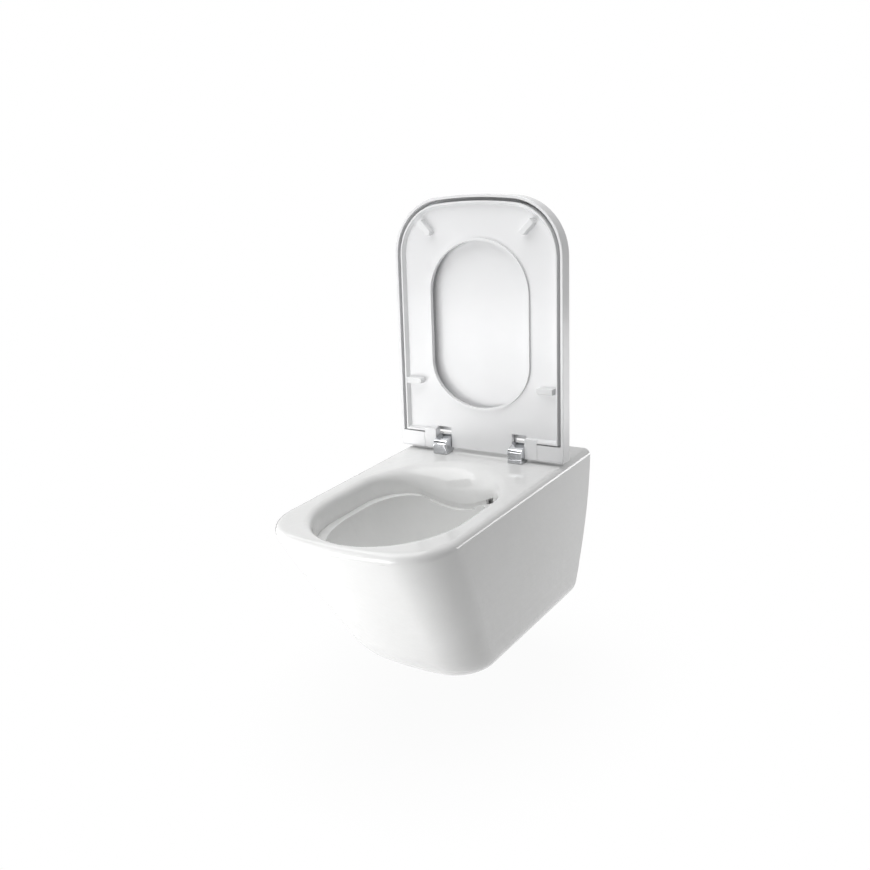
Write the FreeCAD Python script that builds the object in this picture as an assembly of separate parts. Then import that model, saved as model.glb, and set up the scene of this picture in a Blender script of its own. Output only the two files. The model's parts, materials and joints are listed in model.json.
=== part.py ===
import FreeCAD, Part
import math
import os

# Wall hung toilet: a glazed ceramic pan, a seat ring and a wrap-over cover on two chrome hinge posts.
# Millimetres. The wall is the plane Y = 0, the front of the pan is towards -Y, +Z is up and +X is the
# right hand of someone who faces the pan. The origin is midway between the two wall rods, on the wall.
# The model rests with seat and cover standing open, leaning back against their stops.

V = FreeCAD.Vector

# ---- wall connection ----
rod_spacing = 180.0           # between the two threaded rods of the wall frame
rod_hole_radius = 6.2         # clearance for an M12 rod
deck_over_rods = 80.0         # top of the pan above the rods
inlet_over_rods = 35.0        # flush inlet above the rods
outlet_under_rods = 100.0     # waste outlet below the rods
inlet_bore_radius = 27.5
inlet_depth = 60.0
outlet_spigot_radius = 51.0
outlet_bore_radius = 41.0
outlet_spigot_length = 50.0
outlet_set_back = 3.0         # the spigot stops short of the wall
web_clearance = 8.0           # ceramic of the rear plate under the fixing sockets

# ---- pan, outer form ----
pan_half_width = 171.5
pan_projection = 567.0
pan_height = 327.0
side_taper = 45.0             # each side draws in by this at taper_depth
taper_depth = 300.0
front_slope = 0.565           # the front runs back by this for each millimetre down
plan_corner_top = 94.0        # plan radius of the front corners at the deck
plan_corner_low = 75.0        # and at taper_depth
front_bow_top = 30.0          # the front edge bows out by this over the half width
front_bow_low = 16.0
side_rounding = 49.0          # bottom edge along the sides
front_rounding_height = 85.0  # bottom edge under the front, an ellipse
front_rounding_depth = 57.0
deck_edge_rounding = 12.0
wall = 11.0                   # ceramic wall
deck_thickness = 14.0
hollow_front = 430.0          # the casting is one solid wall beyond this distance from the wall

# ---- bowl ----
bowl_half_width = 131.0
bowl_front = 535.0            # distance of the opening's front end from the wall
bowl_front_length = 146.0     # length of its elliptical front end
bowl_rear = 200.0
bowl_rear_length = 100.0
rim_wall_depth = 42.0         # depth of the upright wall, down to the ledge
ledge_width = 14.0
rim_rounding = 13.0
apron_rounding = 60.0         # the deck rolls down into the bowl with this radius at the rear
rear_ledge_width = 3.0        # what is left of the ledge under the apron
lip_height = 2.0              # upright end of the apron's lip
drip_depth = 2.5              # groove under the lip
drip_height = 10.0
drip_end_angle = 46.0         # the groove fades out here, as an angle round the rear end
port_start_angle = 44.0       # the flush port lies under the lip on the right, from this angle
port_end_angle = 58.0
port_height = 9.5
port_depth = 13.0             # the port reaches this far behind the bowl's wall
port_lip = 6.0                # ceramic between the bowl and the flush duct behind the apron
duct_end_angle = 98.0         # the duct ends just past the feed
duct_height = 11.0
duct_cover = 3.0              # between the lip's underside and the duct
feed_radius = 7.0             # bore from the inlet to the duct
nose_wall = 20.0              # solid ceramic round the duct

# ---- trap ----
trap_radius = 28.0
trap_wall = 10.0
sump_depth = 271.0            # depth of the trap's lower centre line under the deck
weir_depth = 165.0
sump_start = 335.0
sump_end = 238.0
weir_start = 178.0
weir_end = 96.0
trap_bend = 46.0

# ---- concealed wall fixing ----
block_size = 37.0
block_length = 55.0
socket_clearance = 0.5
socket_wall = 8.0
clamp_screw_radius = 4.0
clamp_access_radius = 7.0
clamp_screw_setback = 32.0
clamp_screw_length = 18.0
clamp_screw_gap = 0.6         # between the screw's tip and the rod's clearance hole
clamp_key_radius = 2.3        # hexagon socket
clamp_key_depth = 4.0

# ---- hinge ----
hinge_from_wall = 99.5        # hinge axis
hinge_over_deck = 19.25
lean_back = 4.86              # degrees past upright at the open stop
pin_radius = 4.0
running_gap = 0.05            # radial clearance of pins in bores and of inserts in lugs
side_gap = 0.6                # between lugs and posts along the axis
post_inner = 66.0             # distance of the post's inner end from the middle
post_width = 29.0
post_barrel_radius = 13.4
post_foot_front = 27.0        # in front of the axis
post_foot_height = 25.5       # over the deck
post_edge = 3.0
gasket_thickness = 1.0
pin_in_post = 22.0
stud_spacing = 155.0
stud_in_front = 18.0          # of the axis
stud_radius = 4.0
stud_in_post = 13.0
stud_below_deck = 44.0
hinge_hole_radius = 7.0
sleeve_length = 26.0
cone_nut_length = 10.0

# ---- cover and seat, drawn closed: underside down, front towards -Y, hinge axis at the origin ----
cover_half_width = 173.2
cover_front = 456.6           # from the axis
cover_depth = 28.5
cover_side_wall = 5.0
cover_plate = 5.5
plan_corner_cover = 105.0
cover_bow = 18.0
cover_back_edge = 5.0
lug_edge = 5.0
cover_rear = 8.6              # the plate ends this far behind the axis between the lugs
seat_gap = 6.2                # groove between seat and cover
seat_thickness = 16.0
seat_lug_width = 25.0
seat_recess = 8.0             # the underside is hollowed inside a lip
seat_lip = 3.2
seat_lip_slope = 4.0
seat_rear = 11.0
seat_top_edge = 4.0
opening_half_width = 100.0
opening_front = 376.5         # from the axis
opening_front_length = 96.0
opening_rear = 72.0
opening_rear_length = 84.0
bead_width = 5.0
bead_height = 4.0
insert_radius = 9.0           # soft-close cartridges
bush_radius = 6.0
cover_insert_length = 40.0
bumper_width = 11.0
bumper_length = 33.0
bumper_gap = 0.3              # left between a bumper and the deck when closed
front_bumper_from_side = 57.0  # from the seat's outer edge to the bumper's middle
front_bumper_from_front = 47.0
rear_bumper_y = 115.0
pad_radius = 7.0
pad_gap = 0.3
pad_from_side = 43.0          # from the cover's outer edge
pad_rear_y = 60.0
pad_from_front = 127.0

# ---- derived ----
deck_z = deck_over_rods
axis_y = -hinge_from_wall
axis_z = deck_z + hinge_over_deck
half_depth = cover_depth / 2.0
lug_inner_seat = post_inner + post_width + side_gap
lug_outer_seat = lug_inner_seat + seat_lug_width
lug_inner_cover = lug_outer_seat + side_gap
closed_gap = hinge_over_deck - half_depth
seat_half_width = cover_half_width - cover_side_wall - seat_gap
seat_front = cover_front - cover_side_wall - seat_gap
seat_top = seat_thickness - half_depth
notch_front = post_foot_front + 2.0
lug_swing = (half_depth - lug_edge) * math.sqrt(2.0) + lug_edge
socket_size = block_size + 2.0 * socket_clearance
socket_depth = block_length + 4.0 * side_gap
weight_quarter = math.sqrt(0.5)


def line(a, b):
    return Part.LineSegment(a, b).toShape()


def quarter(start, corner, end):
    """A quarter of an ellipse that leaves start and reaches end along the sides of corner."""
    curve = Part.BezierCurve()
    curve.setPoles([start, corner, end])
    curve.setWeight(2, weight_quarter)
    return curve.toShape()


def d_wire(half, rear, front, corner, bow, z):
    """D-shaped outline: straight rear at y = rear, bowed front at y = front, round front corners."""
    bow_radius = (half ** 2 + bow ** 2) / (2.0 * bow)
    bow_y = front + bow_radius
    corner_x = half - corner
    corner_y = bow_y - math.sqrt((bow_radius - corner) ** 2 - corner_x ** 2)
    reach = math.hypot(corner_x, corner_y - bow_y)
    tangent = V(corner_x / reach * bow_radius, bow_y + (corner_y - bow_y) / reach * bow_radius, z)
    middle = math.atan2(corner_y - bow_y, corner_x) / 2.0
    on_corner = V(corner_x + corner * math.cos(middle), corner_y + corner * math.sin(middle), z)

    def other(p):
        return V(-p.x, p.y, p.z)

    side_top = V(half, corner_y, z)
    edges = [line(V(-half, rear, z), V(half, rear, z)),
             line(V(half, rear, z), side_top),
             Part.Arc(side_top, on_corner, tangent).toShape(),
             Part.Arc(tangent, V(0, front, z), other(tangent)).toShape(),
             Part.Arc(other(tangent), other(on_corner), other(side_top)).toShape(),
             line(other(side_top), V(-half, rear, z))]
    return Part.Wire(edges)


def oval_wire(half, front, front_length, rear, rear_length, z):
    """Oval outline with straight sides and an elliptical end at y = front and at y = rear."""
    front_start = front + front_length
    rear_start = rear - rear_length
    edges = [line(V(half, rear_start, z), V(half, front_start, z)),
             quarter(V(half, front_start, z), V(half, front, z), V(0, front, z)),
             quarter(V(0, front, z), V(-half, front, z), V(-half, front_start, z)),
             line(V(-half, front_start, z), V(-half, rear_start, z)),
             quarter(V(-half, rear_start, z), V(-half, rear, z), V(0, rear, z)),
             quarter(V(0, rear, z), V(half, rear, z), V(half, rear_start, z))]
    return Part.Wire(edges)


def prism(wire, height):
    return Part.Face(wire).extrude(V(0, 0, height))


def box(x0, x1, y0, y1, z0, z1):
    return Part.makeBox(x1 - x0, y1 - y0, z1 - z0, V(x0, y0, z0))


def rod(radius, start, direction, length):
    return Part.makeCylinder(radius, length, start, direction)


def edges_at(shape, test):
    return [e for e in shape.Edges if test(e.BoundBox)]


def soften(shape, radius, test):
    """Round the edges whose bounding box passes the test."""
    return shape.makeFillet(radius, edges_at(shape, test))


def mirrored(shape):
    return shape.mirror(V(0, 0, 0), V(1, 0, 0))


# ---------------------------------------------------------------- pan

def rounding(depth, height, up, across):
    """How far an elliptical bottom edge draws in at a depth."""
    if depth <= height - up:
        return 0.0
    part = min((depth - height + up) / up, 1.0)
    return across * (1.0 - math.sqrt(1.0 - part * part))


def pan_section(depth, inset, rear):
    share = depth / taper_depth
    height = pan_height - inset
    side = rounding(depth, height, side_rounding - inset, side_rounding - inset)
    front = rounding(depth, height, front_rounding_height - inset, front_rounding_depth - inset)
    half = pan_half_width - side_taper * share ** 1.475 - side - inset
    corner = plan_corner_top + (plan_corner_low - plan_corner_top) * share - inset - side * 0.5
    bow = front_bow_top + (front_bow_low - front_bow_top) * share
    tip = -pan_projection + front_slope * depth + front + inset * 1.15
    return d_wire(half, rear, tip, corner, bow, deck_z - depth)


def pan_loft(top, inset, rear):
    """The pan's outer form, drawn in by inset: the flanks, and below them the rounded underside.
    The form of the hollow, which has an inset, is made of straight strips."""
    height = pan_height - inset
    turn = side_rounding - inset
    bend = height - turn
    split = height - front_rounding_height + inset
    flank = [top + (split - top) * i / 3.0 for i in range(4)]
    turns = (30, 60, 90) if inset else (20, 40, 60, 78, 90)
    under = [split, (split + bend) / 2.0, bend]
    under += [bend + turn * math.sin(math.radians(a)) for a in turns]
    strips = inset > 0.0
    parts = [Part.makeLoft([pan_section(d, inset, rear) for d in depths], True, strips, False, 5)
             for depths in (flank, under)]
    return parts[0].fuse(parts[1])


def bowl_level(depth, half, front, rear, grow):
    """One level of the bowl below the ledge; grow gives the outside of its ceramic wall."""
    length = front - rear
    return oval_wire(half + grow, -front - grow, length * 0.48 + grow,
                     -rear + grow, length * 0.36 + grow, deck_z - depth)


def bowl_loft(grow, top):
    """The bowl below the ledge and, up to top over the ledge, the opening that the ledge leaves."""
    half = bowl_half_width - ledge_width
    front = bowl_front - ledge_width
    rear = bowl_rear + rear_ledge_width
    levels = [(rim_wall_depth, half, front, rear),
              (75.0, half - 4.0, front - 16.0, rear + 3.0),
              (120.0, half - 19.0, front - 43.0, rear + 10.0),
              (170.0, half - 45.0, front - 88.0, rear + 22.0),
              (215.0, half - 70.0, front - 132.0, rear + 34.0),
              (sump_depth - 14.0, trap_radius + 6.0, sump_start + 26.0, rear + 46.0)]
    wires = [bowl_level(d, h, f, r, grow) for d, h, f, r in levels]
    body = Part.makeLoft(wires, True, grow > 0.0, False, 5)
    if top:
        body = body.fuse(prism(bowl_level(rim_wall_depth, half, front, rear, grow), top))
    return body


def rim_frame(angle):
    """Point and outward direction on the bowl's opening; 90 degrees is its rear end and -90 its front."""
    a = math.radians(angle)
    length, middle = bowl_rear_length, -bowl_rear - bowl_rear_length
    if angle < 0:
        length, middle = bowl_front_length, -bowl_front + bowl_front_length
    point = V(bowl_half_width * math.cos(a), middle + length * math.sin(a), deck_z)
    normal = V(math.cos(a) / bowl_half_width, math.sin(a) / length, 0)
    return point, normal.normalize()


def roll_radius(angle):
    """The roll grows from the rim's rounding to the apron's over the rear end."""
    rise = max(math.sin(math.radians(angle)), 0.0) ** 4
    return rim_rounding + (apron_rounding - rim_rounding) * rise


def ledge_depth(angle):
    """The ledge runs level and dips under the apron's lip."""
    dip = max(math.sin(math.radians(angle)), 0.0) ** 8
    return rim_wall_depth + (apron_rounding + lip_height - rim_wall_depth) * dip


def rim_profile(angle):
    """Section of what is cut for the rim: the roll, the upright wall under it and the ledge."""
    point, out = rim_frame(angle)
    radius = roll_radius(angle)
    above = V(0, 0, 3.0)
    deck_end = point + out * radius
    wall_end = point - V(0, 0, radius)
    foot = point - V(0, 0, ledge_depth(angle))
    bend = radius * (1.0 - weight_quarter)
    middle = point + out * bend - V(0, 0, bend)
    inner = out * -(ledge_width + 6.0)
    edges = [Part.Arc(deck_end, middle, wall_end).toShape(),
             line(wall_end, foot),
             line(foot, foot + inner),
             line(foot + inner, point + inner + above),
             line(point + inner + above, deck_end + above),
             line(deck_end + above, deck_end)]
    return Part.Wire(edges)


def rim_cutters():
    """The rim, in four stretches: round the rear end, round the front end and along each side."""
    length = bowl_front - bowl_front_length - bowl_rear - bowl_rear_length
    forward = V(0, -length, 0)
    rear = Part.makeLoft([rim_profile(180.0 * i / 12.0) for i in range(13)], True, False, False, 5)
    ends = [rim_profile(0.0), rim_profile(180.0)]
    turns = [rim_profile(-180.0 * i / 10.0) for i in range(1, 10)]
    starts = [wire.translated(forward) for wire in ends]
    front = Part.makeLoft([starts[0]] + turns + [starts[1]], True, False, False, 5)
    return [rear, front] + [Part.Face(wire).extrude(forward) for wire in ends]


def behind_wall(angle, near, deep, top, low):
    """Upright rectangle behind the bowl's wall, from near to deep and from depth top to low."""
    point, out = rim_frame(angle)
    corners = [point + out * u - V(0, 0, t) for u, t in ((near, top), (deep, top), (deep, low), (near, low))]
    return Part.makePolygon(corners + [corners[0]])


def drip_groove():
    """Groove under the apron's lip, from which the lip drips into the bowl; it fades out at both ends."""
    steps = 8
    wires = []
    for i in range(steps + 1):
        share = i / steps
        angle = drip_end_angle + (180.0 - 2.0 * drip_end_angle) * share
        top = roll_radius(angle) + 0.6
        deep = 0.2 + drip_depth * math.sin(math.pi * share)
        wires.append(behind_wall(angle, -ledge_width / 2.0, deep, top, top + drip_height))
    return Part.makeLoft(wires, True, False, False, 5)


def flush_duct():
    """Duct behind the apron's lip, from the feed to the port."""
    steps = 5
    wires = []
    for i in range(steps + 1):
        angle = port_end_angle - 1.0 + (duct_end_angle - port_end_angle + 1.0) * i / steps
        top = roll_radius(angle) + duct_cover
        wires.append(behind_wall(angle, port_lip, port_depth - 0.5, top, top + duct_height))
    return Part.makeLoft(wires, True, False, False, 5)


def flush_port():
    """Slot under the lip through which the flush enters the bowl and swirls round it."""
    steps = 3
    wires = []
    for i in range(steps + 1):
        angle = port_start_angle + (port_end_angle - port_start_angle) * i / steps
        top = roll_radius(angle) + 1.2
        wires.append(behind_wall(angle, -ledge_width / 2.0, port_depth, top, top + port_height))
    return Part.makeLoft(wires, True, False, False, 5)


def trap_path():
    """Centre line of the water trap, from the sump over the weir, with bends of one radius."""
    corners = [V(0, -sump_start, deck_z - sump_depth), V(0, -sump_end, deck_z - sump_depth),
               V(0, -weir_start, deck_z - weir_depth), V(0, -weir_end, deck_z - weir_depth)]
    edges = []
    here = corners[0]
    for before, at, after in zip(corners, corners[1:], corners[2:]):
        back = (before - at).normalize()
        onward = (after - at).normalize()
        half_turn = (math.pi - back.getAngle(onward)) / 2.0
        cut = trap_bend * math.tan(half_turn)
        bisector = (back + onward).normalize()
        middle = at + bisector * (trap_bend / math.cos(half_turn) - trap_bend)
        edges.append(line(here, at + back * cut))
        edges.append(Part.Arc(at + back * cut, middle, at + onward * cut).toShape())
        here = at + onward * cut
    edges.append(line(here, corners[-1]))
    return Part.Wire(edges), corners[0]


def trap_pipe(radius):
    path, start = trap_path()
    ring = Part.Wire([Part.Circle(start, V(0, 1, 0), radius).toShape()])
    return path.makePipeShell([ring], True, False)


def socket(side, size, rear, depth):
    """Square tunnel for a wall fixing block, measured from the wall inwards."""
    x = side * rod_spacing / 2.0
    body = box(x - size / 2.0, x + size / 2.0, -depth, rear, -size / 2.0, size / 2.0)
    return soften(body, 4.0, lambda b: b.YLength > 5.0)


def outlet_fall(spigot_radius, pipe_radius):
    """Slanting cone that falls from the trap's end to the spigot's inner end."""
    towards_wall = V(0, 1, 0)
    spigot_end = V(0, -outlet_set_back - outlet_spigot_length, -outlet_under_rods)
    trap_end = V(0, -weir_end, deck_z - weir_depth)
    wires = [Part.Wire([Part.Circle(spigot_end, towards_wall, spigot_radius).toShape()]),
             Part.Wire([Part.Circle(trap_end, towards_wall, pipe_radius).toShape()])]
    return Part.makeLoft(wires, True, True)


def make_hollow():
    """The space inside the casting, open to the wall under the rear plate."""
    outlet_z = -outlet_under_rods
    inlet_z = inlet_over_rods
    half = bowl_half_width + wall
    grown_rim = oval_wire(half, -bowl_front - wall, bowl_front_length + wall,
                          -bowl_rear + wall, bowl_rear_length + wall, deck_z - rim_wall_depth - wall)
    duct_floor = apron_rounding + duct_cover + duct_height
    nose_half = bowl_half_width - nose_wall
    keep = [bowl_loft(wall, 0.0),
            prism(grown_rim, rim_wall_depth + wall),
            trap_pipe(trap_radius + trap_wall),
            rod(outlet_spigot_radius, V(0, 1, outlet_z), V(0, -1, 0), 1.0 + outlet_set_back + outlet_spigot_length),
            outlet_fall(outlet_spigot_radius, trap_radius + trap_wall),
            rod(inlet_bore_radius + wall, V(0, 1, inlet_z), V(0, -1, 0), inlet_depth + wall),
            box(-nose_half, nose_half, -bowl_rear - bowl_rear_length / 2.0,
                -bowl_rear + apron_rounding + wall, deck_z - duct_floor - wall, deck_z),
            box(-pan_half_width, pan_half_width, -wall, 1.0, -socket_size / 2.0 - web_clearance, deck_z)]
    keep += [socket(s, socket_size + 2.0 * socket_wall, 1.0, socket_depth + socket_wall) for s in (-1, 1)]
    hollow = pan_loft(deck_thickness, wall, 2.0 * wall)
    hollow = hollow.common(box(-pan_half_width, pan_half_width, -hollow_front, 2.0 * wall,
                               deck_z - pan_height, deck_z))
    for piece in keep:
        hollow = hollow.cut(piece)
    return hollow


def make_pan():
    pan = pan_loft(0.0, 0.0, wall)
    pan = soften(pan, deck_edge_rounding,
                 lambda b: b.ZLength < 0.01 and abs(b.ZMin - deck_z) < 0.01 and b.YMin < -1.0)
    behind = box(-pan_half_width - wall, pan_half_width + wall, 0.0, 3.0 * wall,
                 deck_z - pan_height - wall, deck_z + wall)
    pan = pan.cut(behind).cut(make_hollow())

    outlet_z = -outlet_under_rods
    inlet_z = inlet_over_rods
    duct_middle = apron_rounding + duct_cover + duct_height / 2.0
    feed_start = V(0, -inlet_depth + inlet_bore_radius / 2.0, inlet_z)
    feed_end = V(0, -bowl_rear + (port_lip + port_depth) / 2.0, deck_z - duct_middle)
    feed = feed_end - feed_start
    cuts = rim_cutters()
    cuts += [flush_port(), bowl_loft(0.0, rim_wall_depth + wall), trap_pipe(trap_radius), drip_groove(), flush_duct(),
             rod(outlet_bore_radius, V(0, 1, outlet_z), V(0, -1, 0), 1.0 + outlet_set_back + outlet_spigot_length),
             outlet_fall(outlet_bore_radius, trap_radius),
             rod(outlet_spigot_radius + 1.0, V(0, 1, outlet_z), V(0, -1, 0), 1.0 + outlet_set_back),
             rod(inlet_bore_radius, V(0, 1, inlet_z), V(0, -1, 0), inlet_depth + 1.0),
             rod(feed_radius, feed_start, feed, feed.Length)]
    for side in (-1, 1):
        x = side * rod_spacing / 2.0
        cuts.append(socket(side, socket_size, 1.0, socket_depth))
        cuts.append(rod(clamp_access_radius, V(x, -clamp_screw_setback, 0), V(0, 0, -1), pan_height))
        cuts.append(rod(hinge_hole_radius, V(side * stud_spacing / 2.0, axis_y - stud_in_front, deck_z + 1.0),
                        V(0, 0, -1), deck_thickness + 2.0))
    for piece in cuts:
        pan = pan.cut(piece)
    return pan


# ---------------------------------------------------------------- wall fixing

def fixing_block(side):
    x = side * rod_spacing / 2.0
    half = block_size / 2.0
    body = box(x - half, x + half, -block_length, 0.0, -half, half)
    body = soften(body, 3.5, lambda b: b.YLength > 5.0)
    body = body.cut(rod(rod_hole_radius, V(x, 1, 0), V(0, -1, 0), block_length + 2.0))
    screw = rod(clamp_screw_radius, V(x, -clamp_screw_setback, 0), V(0, 0, -1), block_size)
    return body.cut(screw)


def clamp_screw(side):
    """Grub screw with a hexagon socket, in the underside of its block."""
    x = side * rod_spacing / 2.0
    top = -rod_hole_radius - clamp_screw_gap
    body = rod(clamp_screw_radius - running_gap, V(x, -clamp_screw_setback, top), V(0, 0, -1),
               clamp_screw_length)
    low = top - clamp_screw_length
    corners = []
    for i in range(7):
        a = math.radians(60.0 * i)
        corners.append(V(x + clamp_key_radius * math.cos(a),
                         -clamp_screw_setback + clamp_key_radius * math.sin(a), low))
    key = Part.Face(Part.makePolygon(corners))
    return body.cut(key.extrude(V(0, 0, clamp_key_depth)))


# ---------------------------------------------------------------- hinge

def post_profile(x):
    """Side outline of a post: a foot on the deck in front and a barrel round the pin."""
    base = deck_z + gasket_thickness
    front = axis_y - post_foot_front
    rear = axis_y - 1.0
    barrel = V(x, axis_y, axis_z)

    def on_barrel(angle):
        a = math.radians(angle)
        return barrel + V(0, math.cos(a), math.sin(a)) * post_barrel_radius

    top_front = V(x, front + 2.0, deck_z + post_foot_height)
    crest = on_barrel(112.0)
    low = on_barrel(-38.0)
    edges = [line(V(x, rear, base), V(x, front, base)),
             line(V(x, front, base), top_front),
             line(top_front, crest),
             Part.Arc(crest, on_barrel(37.0), low).toShape(),
             line(low, V(x, rear, base))]
    return Part.Wire(edges)


def hinge_post(side):
    body = Part.Face(post_profile(post_inner)).extrude(V(post_width, 0, 0))
    body = soften(body, post_edge,
                  lambda b: b.XLength > 20.0 and b.YMax < axis_y - 12.0 and b.ZMin > deck_z + 10.0)
    body = body.cut(rod(pin_radius + running_gap, V(post_inner + post_width + 1.0, axis_y, axis_z),
                        V(-1, 0, 0), pin_in_post + 1.0))
    body = body.cut(rod(stud_radius + running_gap, V(stud_spacing / 2.0, axis_y - stud_in_front, deck_z),
                        V(0, 0, 1), stud_in_post + gasket_thickness))
    return body if side > 0 else mirrored(body)


def hinge_pin(side, reach):
    """Pin fixed in the post; flats at its free end turn the soft-close cartridge."""
    start = post_inner + post_width - pin_in_post + 0.3
    body = rod(pin_radius, V(start, axis_y, axis_z), V(1, 0, 0), reach - start)
    flat = 1.0
    for up in (1, -1):
        z0 = axis_z + up * (pin_radius - flat)
        z1 = axis_z + up * pin_radius * 2.0
        body = body.cut(box(reach - 12.0, reach + 1.0, axis_y - 9.0, axis_y + 9.0, min(z0, z1), max(z0, z1)))
    return body if side > 0 else mirrored(body)


def hinge_gasket(side):
    front = axis_y - post_foot_front + 0.8
    body = box(post_inner + 0.8, post_inner + post_width - 0.8, front, axis_y - 2.0,
               deck_z, deck_z + gasket_thickness)
    body = soften(body, 2.5, lambda b: b.ZLength > 0.5)
    body = body.cut(rod(stud_radius + 0.3, V(stud_spacing / 2.0, axis_y - stud_in_front, deck_z - 1.0),
                        V(0, 0, 1), gasket_thickness + 2.0))
    return body if side > 0 else mirrored(body)


def hinge_stud(side):
    top = deck_z + gasket_thickness + stud_in_post - 1.0
    return rod(stud_radius, V(side * stud_spacing / 2.0, axis_y - stud_in_front, top), V(0, 0, -1),
               top - deck_z + stud_below_deck)


def expansion_sleeve(side):
    """Rubber sleeve in the deck's hole, split by ribs, squeezed by the cone nut below."""
    x = side * stud_spacing / 2.0
    top = V(x, axis_y - stud_in_front, deck_z - 0.3)
    body = rod(hinge_hole_radius - 0.1, top, V(0, 0, -1), sleeve_length)
    body = body.cut(rod(stud_radius + running_gap, top + V(0, 0, 1), V(0, 0, -1), sleeve_length + 2.0))
    for i in range(3):
        groove = V(x, axis_y - stud_in_front, deck_z - deck_thickness - 3.0 - 3.0 * i)
        ring = rod(hinge_hole_radius + 1.0, groove, V(0, 0, -1), 1.2)
        ring = ring.cut(rod(hinge_hole_radius - 1.0, groove + V(0, 0, 1), V(0, 0, -1), 4.0))
        body = body.cut(ring)
    return body


def cone_nut(side):
    x = side * stud_spacing / 2.0
    top = V(x, axis_y - stud_in_front, deck_z - 0.3 - sleeve_length - 0.1)
    body = Part.makeCone(stud_radius + 1.6, hinge_hole_radius - 0.4, cone_nut_length, top, V(0, 0, -1))
    return body.cut(rod(stud_radius + running_gap, top + V(0, 0, 1), V(0, 0, -1), cone_nut_length + 2.0))


# ---------------------------------------------------------------- seat and cover

def swing_open(shape):
    """From the closed drawing position, with the axis at the origin, to the open stop."""
    moved = shape.copy()
    moved.rotate(V(0, 0, 0), V(1, 0, 0), -90.0 - lean_back)
    moved.translate(V(0, axis_y, axis_z))
    return moved


def seat_lug():
    """Square barrel of the seat beside the post, and the neck that carries it on the ring."""
    inner, outer = lug_inner_seat, lug_outer_seat
    body = box(inner, outer, -half_depth, half_depth, -half_depth, half_depth)
    body = soften(body, lug_edge, lambda b: b.XLength > 5.0 and (b.YMin > 0.0 or b.ZMin > 0.0))
    neck = box(inner, outer, -lug_swing - 6.0, 0.0, -half_depth, seat_top)
    return body.fuse(neck)


def barrel_bore(inner, outer, radius):
    return rod(radius, V(inner, 0, 0), V(1, 0, 0), outer - inner)


def both_sides(shape):
    return [shape, mirrored(shape)]


def make_cover():
    low = -half_depth
    outline = d_wire(cover_half_width, half_depth, -cover_front, plan_corner_cover, cover_bow, low)
    body = prism(outline, cover_depth)
    body = soften(body, cover_back_edge, lambda b: b.ZLength < 0.01 and b.ZMin > 0 and b.YMin < 0)
    body = soften(body, 1.2, lambda b: b.ZLength < 0.01 and b.ZMin < 0 and b.YMin < 0)
    body = soften(body, lug_edge, lambda b: b.XLength > 200.0 and b.YMin > 5.0)
    inner_half = cover_half_width - cover_side_wall
    cavity = prism(d_wire(inner_half, -half_depth - 1.6, -cover_front + cover_side_wall,
                          plan_corner_cover - cover_side_wall, cover_bow, low - 1.0),
                   cover_depth - cover_plate + 1.0)
    between = box(-lug_inner_cover, lug_inner_cover, -half_depth - 5.0, half_depth + 1.0,
                  low - 1.0, half_depth - cover_plate)
    rear_trim = box(-lug_inner_cover, lug_inner_cover, cover_rear, half_depth + 1.0, low - 1.0, half_depth + 1.0)
    body = body.cut(cavity).cut(between).cut(rear_trim)
    hinge_slot = box(post_inner - 1.0, lug_inner_cover, -lug_swing - side_gap,
                     half_depth + 1.0, low - 1.0, half_depth + 1.0)
    for slot in both_sides(hinge_slot):
        body = body.cut(slot)
    left_bore = barrel_bore(lug_inner_cover - 1.0, lug_inner_cover + cover_insert_length, insert_radius + running_gap)
    right_bore = barrel_bore(lug_inner_cover - 1.0, lug_inner_cover + cover_insert_length, bush_radius + running_gap)
    return body.cut(mirrored(left_bore)).cut(right_bore)


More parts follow.
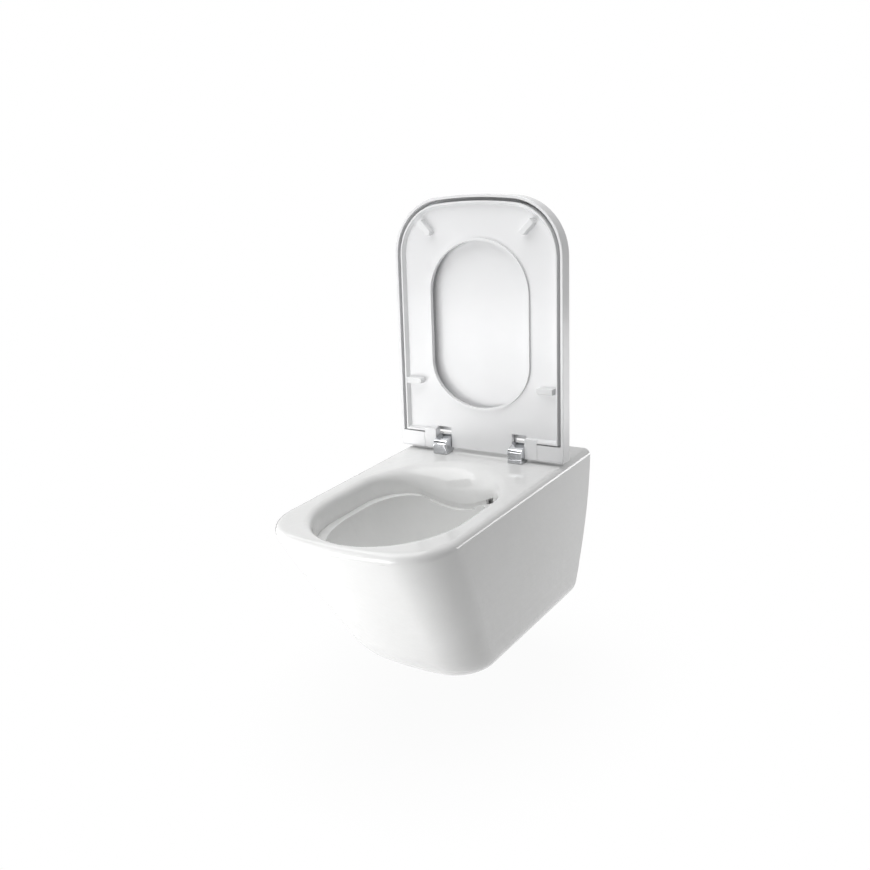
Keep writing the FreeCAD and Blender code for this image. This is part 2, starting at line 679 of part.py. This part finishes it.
def make_seat():
    low = -half_depth
    rear_edge = -half_depth - 4.2
    corner = plan_corner_cover - cover_side_wall - seat_gap
    ring = prism(d_wire(seat_half_width, rear_edge, -seat_front, corner, cover_bow, low), seat_thickness)
    ring = soften(ring, seat_top_edge, lambda b: b.ZLength < 0.01 and b.ZMin > 0 and b.YMin < rear_edge - 1.0)
    ring = soften(ring, 1.0, lambda b: b.ZLength < 0.01 and b.ZMin < low + 0.01 and b.YMin < rear_edge - 1.0)
    recess_low = d_wire(seat_half_width - seat_lip, rear_edge - seat_lip, -seat_front + seat_lip,
                        corner - seat_lip, cover_bow, low - 0.01)
    deep = seat_lip + seat_lip_slope
    recess_top = d_wire(seat_half_width - deep, rear_edge - deep, -seat_front + deep,
                        corner - deep, cover_bow, low + seat_recess)
    ring = ring.cut(Part.makeLoft([recess_low, recess_top], True, True))
    tongue = box(-lug_inner_seat - 2.0, lug_inner_seat + 2.0, rear_edge - 1.0, seat_rear, low + seat_recess, seat_top)
    tongue = soften(tongue, 2.5, lambda b: b.XLength > 100.0 and b.YMin > 5.0)
    open_rear = box(-lug_inner_seat, lug_inner_seat, rear_edge - deep - 1.0, rear_edge + 1.0,
                    low - 1.0, low + seat_recess)
    ring = ring.cut(open_rear).fuse(tongue)
    for one in both_sides(seat_lug()):
        ring = ring.fuse(one)

    def opening(grow, z):
        return oval_wire(opening_half_width + grow, -opening_front - grow, opening_front_length + grow,
                         -opening_rear + grow, opening_rear_length + grow, z)

    bead = prism(opening(bead_width, low + seat_recess - bead_height), bead_height + 1.0)
    hole = prism(opening(0.0, low - 1.0), seat_thickness + 2.0)
    ring = ring.fuse(bead).cut(hole)
    post_slot = box(post_inner - 1.0, post_inner + post_width + side_gap, -notch_front,
                    half_depth + 1.0, low - 1.0, half_depth + 1.0)
    for slot in both_sides(post_slot):
        ring = ring.cut(slot)
    bush_bore = barrel_bore(lug_inner_seat - 1.0, lug_outer_seat + 1.0, bush_radius + running_gap)
    damper_bore = barrel_bore(lug_inner_seat - 1.0, lug_outer_seat + 1.0, insert_radius + running_gap)
    ring = ring.cut(mirrored(bush_bore)).cut(damper_bore)
    ring = ring.removeSplitter()
    return soften(ring, 5.0, on_opening_top)


def on_opening_top(bounds):
    inside = bounds.XMax < opening_half_width + 1.0 and bounds.XMin > -opening_half_width - 1.0
    level = bounds.ZLength < 0.01 and abs(bounds.ZMin - seat_top) < 0.01
    return inside and level and bounds.YMax < -opening_rear + 1.0 and bounds.YMin > -opening_front - 1.0


def insert(inner, length, radius, flange):
    """Bush or soft-close cartridge with its bore for the pin."""
    body = barrel_bore(inner, inner + length, radius)
    if flange:
        body = soften(body, 1.0, lambda b: b.XLength < 0.01)
    return body.cut(barrel_bore(inner - 1.0, inner + length + 1.0, pin_radius + running_gap))


def bumper_bar():
    """Soft bar on the seat's underside that meets the deck; drawn along X with its middle at 0."""
    end = bumper_length / 2.0 - bumper_width / 2.0
    half = bumper_width / 2.0
    low = -half_depth - closed_gap + bumper_gap
    top = -half_depth + seat_recess
    flat = box(-bumper_length / 2.0, end, -half, half, low, top)
    tip = rod(half, V(end, 0, low), V(0, 0, 1), top - low)
    body = flat.fuse(tip).removeSplitter()
    body = soften(body, 1.5, lambda b: b.ZLength < 0.01 and abs(b.ZMin - low) < 0.01)
    return body.fuse(rod(3.0, V(0, 0, top - 0.5), V(0, 0, 1), 3.5)).removeSplitter()


def stem_hole(x, y):
    return rod(3.0 + running_gap, V(x, y, -half_depth + seat_recess - 1.0), V(0, 0, 1), 4.2)


def bumper(x, y, turn):
    body = bumper_bar()
    body.rotate(V(0, 0, 0), V(0, 0, 1), turn)
    body.translate(V(x, y, 0))
    return body


rear_bumper_x = seat_half_width - seat_lip - seat_lip_slope - bumper_gap - bumper_length / 2.0
front_bumper_x = seat_half_width - front_bumper_from_side
front_bumper_y = seat_front - front_bumper_from_front

bumper_seats = {"seat_bumper_rear_right": (rear_bumper_x, -rear_bumper_y, 180.0),
                "seat_bumper_rear_left": (-rear_bumper_x, -rear_bumper_y, 0.0),
                "seat_bumper_front_right": (front_bumper_x, -front_bumper_y, 135.0),
                "seat_bumper_front_left": (-front_bumper_x, -front_bumper_y, 45.0)}


def cover_pads():
    top = half_depth - cover_plate
    height = top - seat_top - pad_gap
    pads = []
    pad_x = cover_half_width - pad_from_side
    for x in (-pad_x, pad_x):
        for y in (pad_rear_y, cover_front - pad_from_front):
            pads.append(Part.makeCone(pad_radius, pad_radius - 1.0, height, V(x, -y, top), V(0, 0, -1)))
    return pads


def group(shapes):
    return Part.makeCompound(shapes)


def save(name, shape):
    solids = shape.Solids
    kept = solids[0] if len(solids) == 1 else Part.makeCompound(solids)
    kept.exportStep("parts/" + name + ".step")
    print(name, len(solids), "solid", round(kept.Volume / 1000.0, 1), "cm3", kept.isValid())


os.makedirs("parts", exist_ok=True)

save("pan", make_pan())

save("wall_fixing_block_left", fixing_block(-1))
save("wall_fixing_block_right", fixing_block(1))
save("wall_clamp_screws", group([clamp_screw(-1), clamp_screw(1)]))

save("hinge_post_left", hinge_post(-1))
save("hinge_post_right", hinge_post(1))
pin_reach = lug_inner_cover + cover_insert_length - 2.0
save("hinge_pin_left", hinge_pin(-1, pin_reach))
save("hinge_pin_right", hinge_pin(1, pin_reach))
save("hinge_gaskets", group([hinge_gasket(-1), hinge_gasket(1)]))
save("hinge_studs", group([hinge_stud(-1), hinge_stud(1)]))
save("hinge_expansion_sleeves", group([expansion_sleeve(-1), expansion_sleeve(1)]))
save("hinge_cone_nuts", group([cone_nut(-1), cone_nut(1)]))

seat = make_seat()
for bumper_name, (bx, by, turn) in bumper_seats.items():
    seat = seat.cut(stem_hole(bx, by))
    save(bumper_name, swing_open(bumper(bx, by, turn)))
save("seat", swing_open(seat))
save("seat_bush_left", swing_open(mirrored(insert(lug_inner_seat, seat_lug_width, bush_radius, False))))
save("seat_damper_right", swing_open(insert(lug_inner_seat, seat_lug_width, insert_radius, True)))

save("cover", swing_open(make_cover()))
save("cover_damper_left", swing_open(mirrored(insert(lug_inner_cover, cover_insert_length, insert_radius, True))))
save("cover_bush_right", swing_open(insert(lug_inner_cover, cover_insert_length, bush_radius, False)))
save("cover_pads", swing_open(group(cover_pads())))
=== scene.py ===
import bmesh
import bpy
import json
import math
from mathutils import Matrix, Vector


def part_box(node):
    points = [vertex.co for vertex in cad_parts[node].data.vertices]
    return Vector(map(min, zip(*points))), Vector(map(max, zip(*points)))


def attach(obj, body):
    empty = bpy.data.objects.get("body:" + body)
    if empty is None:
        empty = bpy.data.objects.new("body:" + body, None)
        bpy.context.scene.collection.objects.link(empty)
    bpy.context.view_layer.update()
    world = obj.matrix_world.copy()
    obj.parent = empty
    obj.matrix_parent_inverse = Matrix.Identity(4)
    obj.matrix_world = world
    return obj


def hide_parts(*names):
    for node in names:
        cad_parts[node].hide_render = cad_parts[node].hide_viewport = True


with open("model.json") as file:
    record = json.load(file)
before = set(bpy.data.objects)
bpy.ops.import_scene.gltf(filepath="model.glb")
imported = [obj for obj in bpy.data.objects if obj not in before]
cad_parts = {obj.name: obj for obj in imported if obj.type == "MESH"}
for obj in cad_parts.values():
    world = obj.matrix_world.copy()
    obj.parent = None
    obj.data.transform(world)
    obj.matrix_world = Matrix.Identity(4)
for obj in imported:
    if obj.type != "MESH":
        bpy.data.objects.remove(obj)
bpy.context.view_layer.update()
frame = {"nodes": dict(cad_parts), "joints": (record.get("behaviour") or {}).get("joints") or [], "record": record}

print("frame loaded:", len(frame["nodes"]), "nodes")


# camera and light

camera = {
    "target": (0.0, -0.25435, 0.16624),
    "distance": 1.76977,
    "azimuth": 34.54,           # degrees round from the front, towards +X
    "elevation": 17.38,
    "roll": -4.69,
    "lens": 42.36,              # mm
    "sensor": 36.0,             # mm, square
    "clip": (0.05, 50.0),
}

studio = {
    "centre": (0.0, -0.25, 0.15),   # where lamps and cards look
    "skyStrength": 0.22,            # as a light; the camera and reflections see white
}

floor = {
    "height": -0.34,
    "size": 9.0,
    "bounce": 0.60,             # grey that lights the pan from below
    "shadow": 0.965,            # grey right under the pan, on white
    "shadowReach": 0.30,
    "shadowFull": 0.55,         # openness at which the shadow is full
    "shadowSamples": 16,
}

softboxes = {
    "keyLight": {"place": (-1.1, -3.0, -0.02), "size": (1.8, 0.65), "watts": 17.2},
    "frontBounce": {"place": (-0.50, -1.15, -0.21), "size": (1.5, 0.22), "watts": 6.3},
    "rearFill": {"place": (1.0, 0.75, -0.08), "size": (0.8, 0.35), "watts": 3.6},
    "topLight": {"place": (-0.6, -0.7, 2.2), "size": (2.6, 2.6), "watts": 45.0},
}

flags = {       # dark cards that only reflections see, for the bands in the chrome
    "thinFlag": {"place": (-1.0, -1.35, 0.40), "size": (1.6, 0.16)},
    "highFlag": {"place": (-0.95, -1.25, 1.15), "size": (1.6, 0.75)},
    "backFlag": {"place": (-0.75, 0.35, -0.15), "size": (1.2, 0.36)},
}

flagCloth = {"colour": (0.02, 0.02, 0.02), "roughness": 0.9}


def opaque(colour):
    return (*colour, 1.0)


def newMaterial(name):
    material = bpy.data.materials.new(name)
    material.use_nodes = True
    return material


def addObject(name, data):
    obj = bpy.data.objects.new(name, data)
    bpy.context.collection.objects.link(obj)
    return obj


def addMesh(name, bm, material):
    mesh = bpy.data.meshes.new(name)
    bm.to_mesh(mesh)
    bm.free()
    mesh.materials.append(material)
    return addObject(name, mesh)


def addSheet(name, size, height, material):
    bm = bmesh.new()
    bmesh.ops.create_grid(bm, x_segments=1, y_segments=1, size=0.5)
    bmesh.ops.scale(bm, verts=bm.verts, vec=(size[0], size[1], 1.0))
    bmesh.ops.translate(bm, verts=bm.verts, vec=(0.0, 0.0, height))
    obj = addMesh(name, bm, material)
    return obj


def pointAtCentre(obj, place):
    obj.location = place
    aim = Vector(studio["centre"]) - Vector(place)
    obj.rotation_euler = aim.to_track_quat("-Z", "Y").to_euler()


def addCamera():
    data = bpy.data.cameras.new("photoCamera")
    data.lens = camera["lens"]
    data.sensor_width = camera["sensor"]
    data.clip_start, data.clip_end = camera["clip"]
    data.dof.use_dof = False
    az = math.radians(camera["azimuth"])
    el = math.radians(camera["elevation"])
    roll = math.radians(camera["roll"])
    forward = Vector((-math.sin(az) * math.cos(el), math.cos(az) * math.cos(el), -math.sin(el)))
    right = Vector((math.cos(az), math.sin(az), 0.0))
    up = right.cross(forward)
    turnedRight = right * math.cos(roll) + up * math.sin(roll)
    turnedUp = up * math.cos(roll) - right * math.sin(roll)
    turn = Matrix((turnedRight, turnedUp, -forward)).transposed().to_4x4()
    place = Vector(camera["target"]) - forward * camera["distance"]
    obj = addObject("photoCamera", data)
    obj.matrix_world = Matrix.Translation(place) @ turn
    bpy.context.scene.camera = obj


def addSoftbox(name, lamp):
    data = bpy.data.lights.new(name, "AREA")
    data.shape = "RECTANGLE"
    data.size, data.size_y = lamp["size"]
    data.energy = lamp["watts"]
    obj = addObject(name, data)
    pointAtCentre(obj, lamp["place"])
    obj.visible_camera = False


def addFlag(name, flag):
    cloth = newMaterial(name)
    shader = cloth.node_tree.nodes["Principled BSDF"]
    shader.inputs["Base Color"].default_value = opaque(flagCloth["colour"])
    shader.inputs["Roughness"].default_value = flagCloth["roughness"]
    obj = addSheet(name, flag["size"], 0.0, cloth)
    pointAtCentre(obj, flag["place"])
    obj.visible_camera = False
    obj.visible_diffuse = False
    obj.visible_shadow = False


def mixBySight(tree, hidden, seen, output):     # seen: straight, in a reflection or through glass
    path = tree.nodes.new("ShaderNodeLightPath")
    sight = path.outputs["Is Camera Ray"]
    for kind in ("Is Glossy Ray", "Is Transmission Ray"):
        most = tree.nodes.new("ShaderNodeMath")
        most.operation = "MAXIMUM"
        tree.links.new(sight, most.inputs[0])
        tree.links.new(path.outputs[kind], most.inputs[1])
        sight = most.outputs[0]
    mix = tree.nodes.new("ShaderNodeMixShader")
    tree.links.new(sight, mix.inputs["Fac"])
    tree.links.new(hidden.outputs[0], mix.inputs[1])
    tree.links.new(seen.outputs[0], mix.inputs[2])
    tree.links.new(mix.outputs[0], tree.nodes.new(output).inputs["Surface"])


def addWorld():
    world = bpy.data.worlds.new("studioWorld")
    bpy.context.scene.world = world
    world.use_nodes = True
    tree = world.node_tree
    tree.nodes.clear()
    skies = []
    for strength in (studio["skyStrength"], 1.0):
        sky = tree.nodes.new("ShaderNodeBackground")
        sky.inputs["Color"].default_value = opaque((1.0, 1.0, 1.0))
        sky.inputs["Strength"].default_value = strength
        skies.append(sky)
    mixBySight(tree, skies[0], skies[1], "ShaderNodeOutputWorld")


def addFloor():
    material = newMaterial("studioFloor")
    tree = material.node_tree
    tree.nodes.clear()
    matt = tree.nodes.new("ShaderNodeBsdfDiffuse")
    matt.inputs["Color"].default_value = opaque([floor["bounce"]] * 3)
    above = tree.nodes.new("ShaderNodeAmbientOcclusion")    # the pan's soft shadow
    above.samples = floor["shadowSamples"]
    above.inputs["Distance"].default_value = floor["shadowReach"]
    shade = tree.nodes.new("ShaderNodeMapRange")
    shade.inputs["From Min"].default_value = floor["shadowFull"]
    shade.inputs["To Min"].default_value = floor["shadow"]
    tree.links.new(above.outputs["AO"], shade.inputs["Value"])
    glow = tree.nodes.new("ShaderNodeEmission")
    tree.links.new(shade.outputs["Result"], glow.inputs["Color"])
    mixBySight(tree, matt, glow, "ShaderNodeOutputMaterial")
    addSheet("studioFloor", (floor["size"], floor["size"]), floor["height"], material)


addCamera()
addWorld()
addFloor()
for lampName, lamp in softboxes.items():
    addSoftbox(lampName, lamp)
for flagName, flag in flags.items():
    addFlag(flagName, flag)
bpy.context.scene.view_settings.view_transform = "Standard"
print("studio ready")


# materials

noiseUse = {"colour": (0.35, 0.65), "roughness": (0.3, 0.7)}    # what of the noise's 0 to 1 is spread out
noiseBreakup = {"grains": 0.5, "streaks": 0.6}

chromeStreaks = (900.0, 60.0, 60.0)     # to the metre along X, Y and Z
steelStreaks = (2500.0, 120.0, 120.0)

looks = {       # by slot
    "ceramic": {
        "name": "glazedCeramic",
        "colours": ((0.850, 0.852, 0.845), (0.875, 0.877, 0.872)),      # thin glaze, full glaze
        "patches": (7.0, 3.0),          # noise of the colour: grains to the metre, detail
        "roughness": (0.05, 0.12),
        "smears": (35.0, 3.0),          # noise of the roughness
        "bumps": ((55.0, 1.0, 0.0004), (260.0, 2.0, 0.0001)),   # and a height in m, the widest first
        "shader": {"IOR": 1.52, "Coat Weight": 0.25, "Coat Roughness": 0.03},
    },
    "duroplast": {
        "name": "glossDuroplast",
        "colours": ((0.845, 0.848, 0.856), (0.865, 0.868, 0.875)),
        "patches": (11.0, 2.0),
        "roughness": (0.19, 0.26),
        "smears": (45.0, 2.0),
        "bumps": ((30.0, 1.0, 0.00012), (700.0, 2.0, 0.00002)),
        "shader": {"IOR": 1.49},
    },
    "chrome": {
        "name": "polishedChrome",
        "colours": ((0.6324, 0.6417, 0.6603), (0.68, 0.69, 0.71)),
        "patches": (chromeStreaks, 3.0),
        "roughness": (0.03, 0.10),
        "smears": (150.0, 4.0),
        "bumps": ((chromeStreaks, 3.0, 0.000012),),
        "shader": {"Metallic": 1.0},
    },
    "steel": {
        "name": "satinSteel",
        "colours": ((0.46, 0.46, 0.47), (0.58, 0.58, 0.59)),
        "patches": (steelStreaks, 3.0),
        "roughness": (0.22, 0.38),
        "smears": (200.0, 3.0),
        "bumps": ((steelStreaks, 3.0, 0.00003),),
        "shader": {"Metallic": 1.0},
    },
    "rubber": {
        "name": "gasketRubber",
        "colours": ((0.56, 0.56, 0.55), (0.62, 0.62, 0.61)),
        "patches": (40.0, 3.0),
        "roughness": (0.5, 0.65),
        "smears": (120.0, 3.0),
        "bumps": ((1600.0, 2.0, 0.00004),),
        "shader": {},
    },
    "soft_plastic": {
        "name": "softBumper",
        "colours": ((0.84, 0.845, 0.85), (0.86, 0.865, 0.87)),
        "patches": (40.0, 3.0),
        "roughness": (0.34, 0.48),
        "smears": (120.0, 3.0),
        "bumps": ((1600.0, 2.0, 0.00002),),
        "shader": {},
    },
    "fixing_plastic": {
        "name": "fixingPlastic",
        "colours": ((0.12, 0.125, 0.135), (0.16, 0.165, 0.175)),
        "patches": (40.0, 3.0),
        "roughness": (0.38, 0.52),
        "smears": (120.0, 3.0),
        "bumps": ((1600.0, 2.0, 0.00004),),
        "shader": {},
    },
}


def addNoise(tree, grains, detail):
    place = tree.nodes.new("ShaderNodeTexCoord").outputs["Object"]
    noise = tree.nodes.new("ShaderNodeTexNoise")
    noise.inputs["Detail"].default_value = detail
    if isinstance(grains, tuple):
        stretch = tree.nodes.new("ShaderNodeMapping")
        stretch.inputs["Scale"].default_value = grains
        tree.links.new(place, stretch.inputs["Vector"])
        tree.links.new(stretch.outputs["Vector"], noise.inputs["Vector"])
        noise.inputs["Scale"].default_value = 1.0
        noise.inputs["Roughness"].default_value = noiseBreakup["streaks"]
    else:
        tree.links.new(place, noise.inputs["Vector"])
        noise.inputs["Scale"].default_value = grains
        noise.inputs["Roughness"].default_value = noiseBreakup["grains"]
    return noise.outputs["Fac"]


def addColour(tree, shader, look):
    ramp = tree.nodes.new("ShaderNodeValToRGB")
    for stop, position, colour in zip(ramp.color_ramp.elements, noiseUse["colour"], look["colours"]):
        stop.position = position
        stop.color = opaque(colour)
    tree.links.new(addNoise(tree, *look["patches"]), ramp.inputs["Fac"])
    tree.links.new(ramp.outputs["Color"], shader.inputs["Base Color"])


def addRoughness(tree, shader, look):
    spread = tree.nodes.new("ShaderNodeMapRange")
    ends = (*noiseUse["roughness"], *look["roughness"])
    for socket, number in zip(("From Min", "From Max", "To Min", "To Max"), ends):
        spread.inputs[socket].default_value = number
    tree.links.new(addNoise(tree, *look["smears"]), spread.inputs["Value"])
    tree.links.new(spread.outputs["Result"], shader.inputs["Roughness"])


def addBumps(tree, shader, look):
    under = None
    for grains, detail, height in look["bumps"]:
        bump = tree.nodes.new("ShaderNodeBump")
        bump.inputs["Strength"].default_value = 1.0
        bump.inputs["Distance"].default_value = height
        tree.links.new(addNoise(tree, grains, detail), bump.inputs["Height"])
        if under:
            tree.links.new(under, bump.inputs["Normal"])
        under = bump.outputs["Normal"]
    tree.links.new(under, shader.inputs["Normal"])


def addMaterial(look):
    material = newMaterial(look["name"])
    tree = material.node_tree
    shader = tree.nodes["Principled BSDF"]
    addColour(tree, shader, look)
    addRoughness(tree, shader, look)
    addBumps(tree, shader, look)
    for socket, number in look["shader"].items():
        shader.inputs[socket].default_value = number
    return material


slotMaterials = {slot: addMaterial(look) for slot, look in looks.items()}
for part in frame["record"]["subparts"]:
    mesh = frame["nodes"][part["node"]].data
    mesh.materials.clear()
    mesh.materials.append(slotMaterials[part["material_slot"]])
print("materials ready")


# hinge posts, rounder than in the CAD and within its shape

post = {
    "frontHeight": 0.0245,
    "frontLean": 0.002,
    "edge": 0.0078,             # rounding of the top front edge
    "edgeSteps": 16,
    "barrel": 0.0134,           # radius round the pin
    "barrelSteps": 24,
    "crestAngle": 112.0,        # degrees, where the top meets the barrel
    "heelAngle": -38.0,         # where the barrel meets the heel
    "heelSetback": 0.001,       # of the heel, in front of the axis
    "bevel": 0.0011,            # round both ends
    "bevelSegments": 3,
    "sharpAngle": 32.0,         # edges above this stay sharp
}


def arcPoints(centre, radius, begin, turn, steps):
    angles = [begin + turn * i / steps for i in range(steps + 1)]
    return [(centre[0] + radius * math.cos(a), centre[1] + radius * math.sin(a)) for a in angles]


def postOutline(front, base):       # (y, z) from the foot's front corner over the top to the heel
    axis = frame["joints"][0]["pos_m"][1:]
    crestAngle = math.radians(post["crestAngle"])
    barrelTurn = math.radians(post["heelAngle"]) - crestAngle
    barrel = arcPoints(axis, post["barrel"], crestAngle, barrelTurn, post["barrelSteps"])
    corner = Vector((front + post["frontLean"], base + post["frontHeight"]))
    slope = (Vector(barrel[0]) - corner).normalized()
    upright = Vector((-post["frontLean"], -post["frontHeight"])).normalized()
    half = math.acos(slope.dot(upright)) / 2.0
    reach = post["edge"] / math.tan(half)
    middle = corner + (slope + upright).normalized() * post["edge"] / math.sin(half)
    first = corner + upright * reach - middle
    last = corner + slope * reach - middle
    begin = math.atan2(first.y, first.x)
    turn = math.atan2(last.y, last.x) - begin
    if turn > 0.0:
        turn -= 2.0 * math.pi
    edge = arcPoints(middle, post["edge"], begin, turn, post["edgeSteps"])
    return [(front, base), *edge, *barrel, (axis[0] - post["heelSetback"], base)]


def addPost(node):
    low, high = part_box(node)
    bm = bmesh.new()
    end = bm.faces.new([bm.verts.new((low[0], y, z)) for y, z in postOutline(low[1], low[2])])
    rim = list(end.edges)
    grown = bmesh.ops.extrude_face_region(bm, geom=[end])["geom"]
    moved = [v for v in grown if isinstance(v, bmesh.types.BMVert)]
    rim += [e for e in grown if isinstance(e, bmesh.types.BMEdge)]
    bmesh.ops.translate(bm, verts=moved, vec=(high[0] - low[0], 0.0, 0.0))
    bmesh.ops.recalc_face_normals(bm, faces=bm.faces)
    bmesh.ops.bevel(bm, geom=rim, offset=post["bevel"], segments=post["bevelSegments"], profile=0.5,
                    affect="EDGES", material=-1, clamp_overlap=True)
    for face in bm.faces:
        face.smooth = True
    obj = addMesh(node + "_shell", bm, slotMaterials["chrome"])
    obj.data.set_sharp_from_angle(angle=math.radians(post["sharpAngle"]))
    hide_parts(node)
    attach(obj, "pan_set")


for postNode in ("hinge_post_left", "hinge_post_right"):
    addPost(postNode)
print("hinge posts ready")
